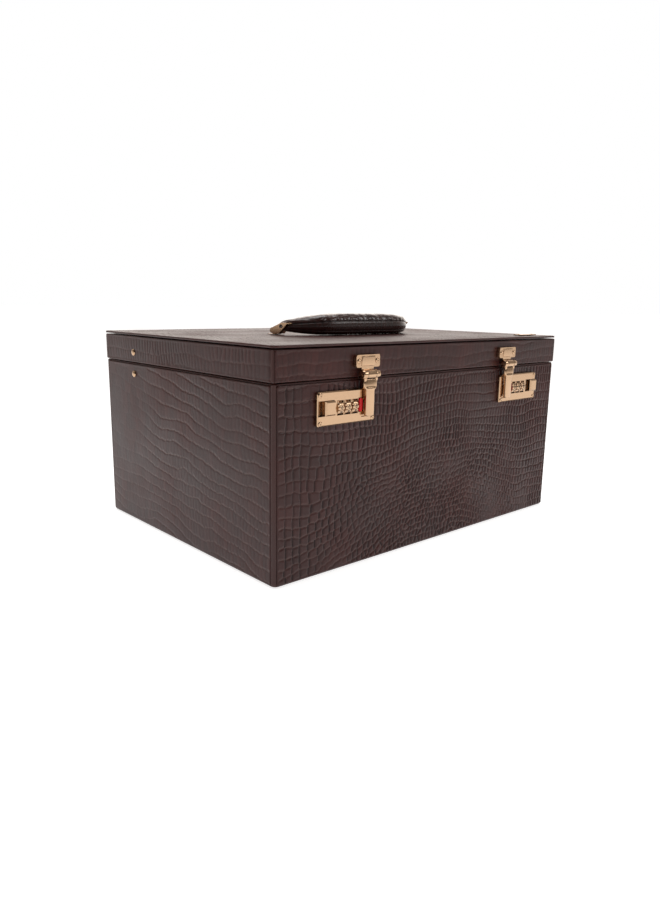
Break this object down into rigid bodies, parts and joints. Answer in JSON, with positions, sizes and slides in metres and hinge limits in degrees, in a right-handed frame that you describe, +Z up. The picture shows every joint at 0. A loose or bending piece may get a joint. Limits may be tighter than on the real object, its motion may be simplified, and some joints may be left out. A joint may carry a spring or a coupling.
{
  "type": "leather jewellery case",
  "caption": "Rigid leather-covered jewellery case with a hinged lid, combination locks with hasps, folding top handle, mirror and lift-out tray.",
  "frame": {"origin": "middle of the base panel's underside, on the surface the case stands on", "axes": "+X to the right seen from the front, along the width; -Y towards the front, where the locks are; +Z up"},
  "size_m": [0.3426, 0.2654, 0.1865],
  "materials": {
    "croc_leather": "glossy reptile-embossed leather, dark maroon brown",
    "wrapped_edges": "smooth leather wrapped over board",
    "grip_leather": "glossy embossed padded leather",
    "gold": "champagne gold plating, polished",
    "steel": "plated pressed steel",
    "red": "glossy red plastic",
    "suede": "beige microsuede over board",
    "velvet": "beige velvet over foam",
    "base_cloth": "dark brown non-slip base cloth",
    "mirror": "silvered glass"
  },
  "bodies": {
    "case": {"body_carcass": "wrapped_edges", "body_front_leather": "croc_leather", "body_back_leather": "croc_leather", "body_left_leather": "croc_leather", "body_right_leather": "croc_leather", "base_panel": "base_cloth", "body_lining": "suede", "compartment_divider": "suede", "hinge_leaf_body": "gold", "hinge_pin": "gold", "lock_plate_left": "gold", "lock_case_left": "steel", "dial_axle_left": "steel", "red_insert_left": "red", "body_stud_left": "gold", "lock_plate_right": "gold", "lock_case_right": "steel", "dial_axle_right": "steel", "red_insert_right": "red", "body_stud_right": "gold"},
    "tray": {"tray": "suede", "ring_cushion": "velvet"},
    "lid": {"lid_shell": "wrapped_edges", "lid_top_panel": "croc_leather", "lid_front_leather": "croc_leather", "lid_back_leather": "croc_leather", "lid_lining": "suede", "mirror": "mirror", "mirror_frame": "gold", "hinge_leaf_lid": "gold", "lid_blank_plate": "gold", "hasp_plate_left": "gold", "hasp_pin_left": "gold", "lid_stud_left": "gold", "handle_bracket_left": "gold", "hasp_plate_right": "gold", "hasp_pin_right": "gold", "lid_stud_right": "gold", "handle_bracket_right": "gold"},
    "handle": {"handle_grip": "grip_leather", "handle_arm_left": "gold", "handle_arm_right": "gold"},
    "slider_left": {"slider_left": "gold"},
    "dial_left_1": {"dial_left_1": "gold"},
    "dial_left_2": {"dial_left_2": "gold"},
    "dial_left_3": {"dial_left_3": "gold"},
    "hasp_left": {"hasp_strap_left": "gold"},
    "stay_body_left": {"stay_link_body_left": "gold"},
    "stay_lid_left": {"stay_link_lid_left": "gold"},
    "slider_right": {"slider_right": "gold"},
    "dial_right_1": {"dial_right_1": "gold"},
    "dial_right_2": {"dial_right_2": "gold"},
    "dial_right_3": {"dial_right_3": "gold"},
    "hasp_right": {"hasp_strap_right": "gold"},
    "stay_body_right": {"stay_link_body_right": "gold"},
    "stay_lid_right": {"stay_link_lid_right": "gold"}
  },
  "joints": [
    {"name": "lid_hinge", "type": "hinge", "parent": "case", "child": "lid", "pos_m": [0, 0.1288, 0.143], "axis": [-1, 0, 0], "range_deg": [0, 100]},
    {"name": "tray_lift", "type": "slide", "parent": "case", "child": "tray", "axis": [0, 0, 1], "range_m": [0, 0.012]},
    {"name": "handle_fold", "type": "hinge", "parent": "lid", "child": "handle", "pos_m": [0, 0.001, 0.1716], "axis": [-1, 0, 0], "range_deg": [0, 90]},
    {"name": "slider_push_left", "type": "slide", "parent": "case", "child": "slider_left", "axis": [-1, 0, 0], "range_m": [0, 0.0045], "stiffness_N_per_m": 180, "springref_m": -0.002},
    {"name": "dial_turn_left_1", "type": "hinge", "parent": "case", "child": "dial_left_1", "pos_m": [-0.1133, -0.1258, 0.123], "axis": [1, 0, 0], "continuous": true},
    {"name": "dial_turn_left_2", "type": "hinge", "parent": "case", "child": "dial_left_2", "pos_m": [-0.1063, -0.1258, 0.123], "axis": [1, 0, 0], "continuous": true},
    {"name": "dial_turn_left_3", "type": "hinge", "parent": "case", "child": "dial_left_3", "pos_m": [-0.0993, -0.1258, 0.123], "axis": [1, 0, 0], "continuous": true},
    {"name": "hasp_lift_left", "type": "hinge", "parent": "lid", "child": "hasp_left", "pos_m": [-0.0868, -0.1315, 0.1455], "axis": [-1, 0, 0], "range_deg": [0, 110]},
    {"name": "stay_body_turn_left", "type": "hinge", "parent": "case", "child": "stay_body_left", "pos_m": [-0.1574, 0.07082, 0.13319], "axis": [-1, 0, 0], "range_deg": [0, 100]},
    {"name": "stay_lid_turn_left", "type": "hinge", "parent": "lid", "child": "stay_lid_left", "pos_m": [-0.1592, 0.07063, 0.15159], "axis": [-1, 0, 0], "range_deg": [-100, 0]},
    {"name": "slider_push_right", "type": "slide", "parent": "case", "child": "slider_right", "axis": [-1, 0, 0], "range_m": [0, 0.0045], "stiffness_N_per_m": 180, "springref_m": -0.002},
    {"name": "dial_turn_right_1", "type": "hinge", "parent": "case", "child": "dial_right_1", "pos_m": [0.1133, -0.1258, 0.123], "axis": [1, 0, 0], "continuous": true},
    {"name": "dial_turn_right_2", "type": "hinge", "parent": "case", "child": "dial_right_2", "pos_m": [0.1063, -0.1258, 0.123], "axis": [1, 0, 0], "continuous": true},
    {"name": "dial_turn_right_3", "type": "hinge", "parent": "case", "child": "dial_right_3", "pos_m": [0.0993, -0.1258, 0.123], "axis": [1, 0, 0], "continuous": true},
    {"name": "hasp_lift_right", "type": "hinge", "parent": "lid", "child": "hasp_right", "pos_m": [0.0868, -0.1315, 0.1455], "axis": [-1, 0, 0], "range_deg": [0, 110]},
    {"name": "stay_body_turn_right", "type": "hinge", "parent": "case", "child": "stay_body_right", "pos_m": [0.1574, 0.07082, 0.13319], "axis": [-1, 0, 0], "range_deg": [0, 100]},
    {"name": "stay_lid_turn_right", "type": "hinge", "parent": "lid", "child": "stay_lid_right", "pos_m": [0.1592, 0.07063, 0.15159], "axis": [-1, 0, 0], "range_deg": [-100, 0]}
  ],
  "couplings": [
    {"joint": "stay_body_turn_left", "follows": "lid_hinge", "ratio": 1},
    {"joint": "stay_lid_turn_left", "follows": "lid_hinge", "ratio": -1},
    {"joint": "stay_body_turn_right", "follows": "lid_hinge", "ratio": 1},
    {"joint": "stay_lid_turn_right", "follows": "lid_hinge", "ratio": -1}
  ]
}
